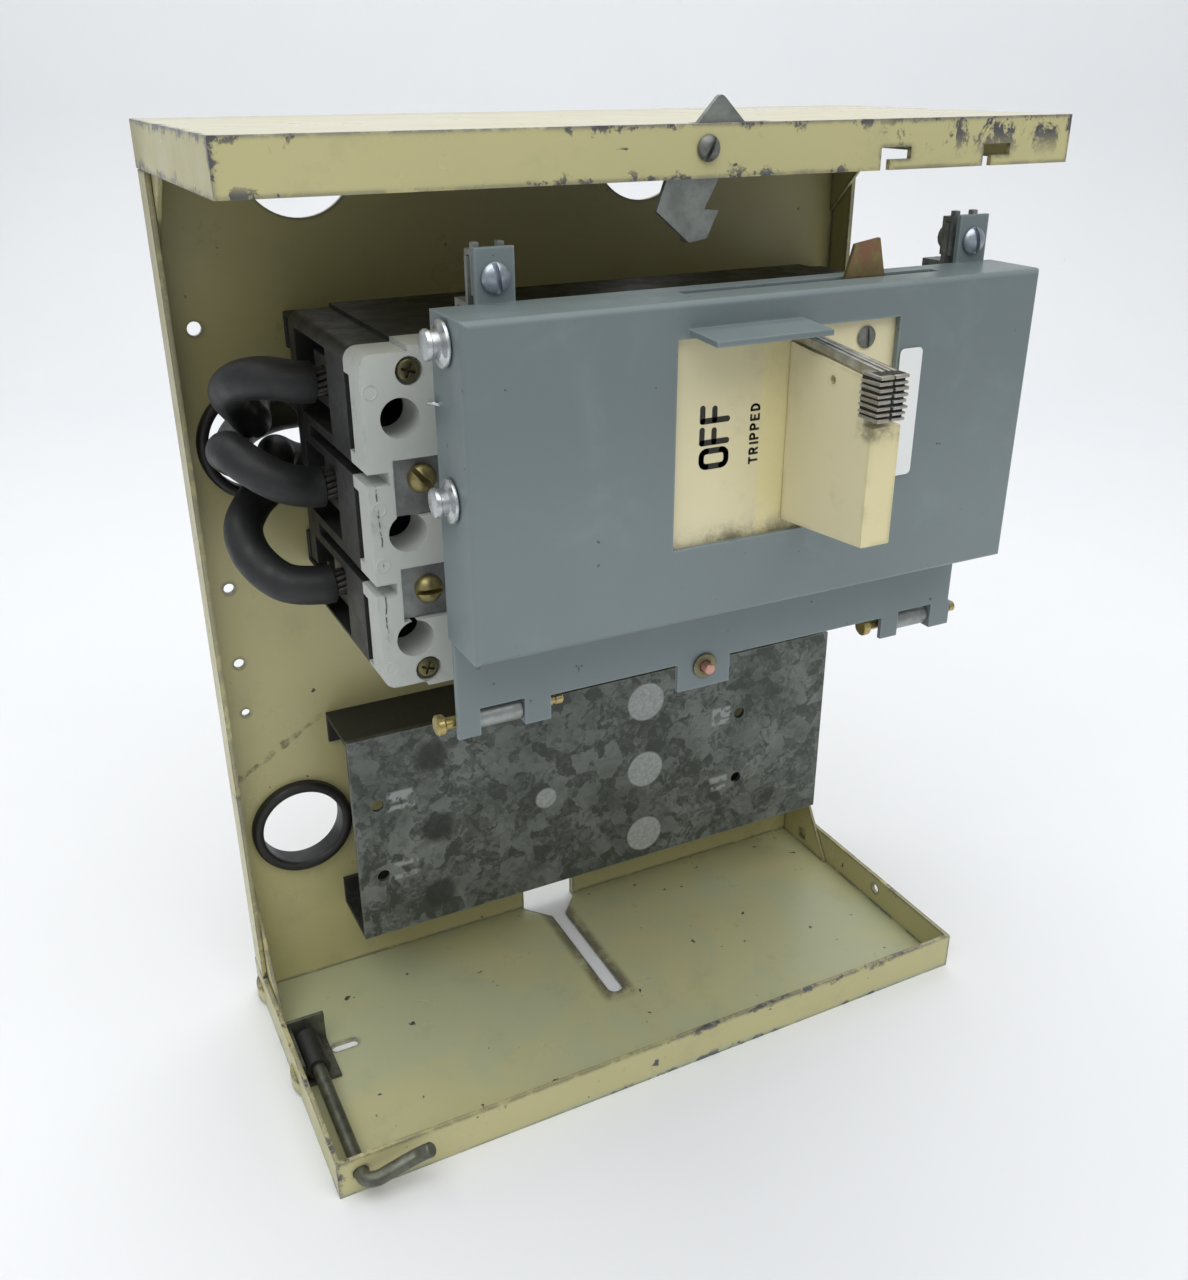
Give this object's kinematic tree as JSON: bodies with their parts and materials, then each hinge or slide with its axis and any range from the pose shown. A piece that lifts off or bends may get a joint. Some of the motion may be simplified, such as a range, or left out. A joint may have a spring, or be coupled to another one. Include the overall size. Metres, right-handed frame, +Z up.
{
  "type": "subpanel enclosure",
  "caption": "Open sheet-steel subpanel enclosure with a moulded-case breaker, a hinged cover with a sliding operating handle, plug-in stabs and unit latches.",
  "frame": {"origin": "bottom centre of the whole object's box, on the surface that it stands on", "axes": "+X to the right seen from the operating handle, +Y from the handle to the back pan, +Z up"},
  "size_m": [0.304, 0.252, 0.3889],
  "materials": {
    "painted_cream": "satin enamel, worn to bare steel at edges and corners",
    "painted_gray": "satin blue-gray enamel",
    "galvanised": "dull spangled galvanising",
    "bright_zinc": "bright zinc plate",
    "yellow_zinc": "yellow passivated zinc plate",
    "bare_steel": "bare steel, slightly rusty",
    "black_moulding": "dull black thermoset",
    "gray_moulding": "dull pale gray thermoset",
    "ivory_plastic": "semi-gloss ivory, grimy at the edges",
    "black_rubber": "satin black",
    "copper": "dull tinned copper",
    "label_film": "matte white film"
  },
  "bodies": {
    "enclosure": {"back_pan": "painted_cream", "top_pan": "painted_cream", "bottom_pan": "painted_cream", "gusset_top_left": "painted_cream", "gusset_top_right": "painted_cream", "gusset_bottom_left": "painted_cream", "gusset_bottom_right": "painted_cream", "cable_grommet": "black_rubber", "spare_grommet": "black_rubber", "line_cable_top": "black_rubber", "line_cable_middle": "black_rubber", "line_cable_bottom": "black_rubber", "mounting_channel": "galvanised", "breaker_channel": "galvanised", "breaker_base": "black_moulding", "stab_housing": "black_moulding", "rod_sleeve": "black_moulding", "breaker_cover": "gray_moulding", "line_lug_top": "bright_zinc", "line_lug_middle": "bright_zinc", "line_lug_bottom": "bright_zinc", "operator_base": "bright_zinc", "clip_nut_left": "bright_zinc", "clip_nut_right": "bright_zinc", "rod_bracket": "bright_zinc", "breaker_cover_screw_upper": "yellow_zinc", "breaker_cover_screw_lower": "yellow_zinc", "breaker_mount_screw_upper": "yellow_zinc", "breaker_mount_screw_lower": "yellow_zinc", "latch_screw": "bare_steel", "stab_jaw_left": "copper", "stab_jaw_centre": "copper", "stab_jaw_right": "copper"},
    "cover": {"operator_cover": "painted_gray", "shoulder_stud_upper": "bright_zinc", "shoulder_stud_lower": "bright_zinc", "skirt_pin": "copper", "skirt_pin_washer": "yellow_zinc", "rating_label": "label_film", "slide_guide_upper": "bright_zinc", "slide_guide_lower": "bright_zinc", "ear_screw_left": "bright_zinc", "ear_screw_right": "bright_zinc", "hinge_pin_left": "yellow_zinc", "hinge_pin_right": "yellow_zinc"},
    "slide": {"slide_plate": "ivory_plastic", "operator_handle": "ivory_plastic", "slide_screw": "bare_steel", "interlock_tab": "yellow_zinc"},
    "hasp": {"lockout_hasp": "bare_steel"},
    "toggle": {"breaker_toggle": "black_moulding"},
    "latch": {"unit_latch": "bright_zinc"},
    "retainer": {"retainer_rod": "bare_steel"}
  },
  "joints": [
    {"name": "cover_hinge", "type": "hinge", "parent": "enclosure", "child": "cover", "pos_m": [0.011, -0.0518, 0.197], "axis": [1, 0, 0], "range_deg": [0, 95]},
    {"name": "handle_slide", "type": "slide", "parent": "cover", "child": "slide", "axis": [-1, 0, 0], "range_m": [0, 0.04]},
    {"name": "toggle_pivot", "type": "hinge", "parent": "enclosure", "child": "toggle", "pos_m": [0.0065, -0.022, 0.2604], "axis": [0, 0, 1], "range_deg": [-51.6, 0]},
    {"name": "hasp_slide", "type": "slide", "parent": "slide", "child": "hasp", "axis": [0, -1, 0], "range_m": [0, 0.012]},
    {"name": "latch_pivot", "type": "hinge", "parent": "enclosure", "child": "latch", "pos_m": [0.0005, -0.0468, 0.3739], "axis": [0, 1, 0], "range_deg": [0, 45]},
    {"name": "retainer_pivot", "type": "hinge", "parent": "enclosure", "child": "retainer", "pos_m": [-0.1408, -0.05, 0.01], "axis": [0, -1, 0], "range_deg": [0, 90]}
  ],
  "couplings": [
    {"joint": "toggle_pivot", "follows": "handle_slide", "rad_per_m": -22.49}
  ]
}
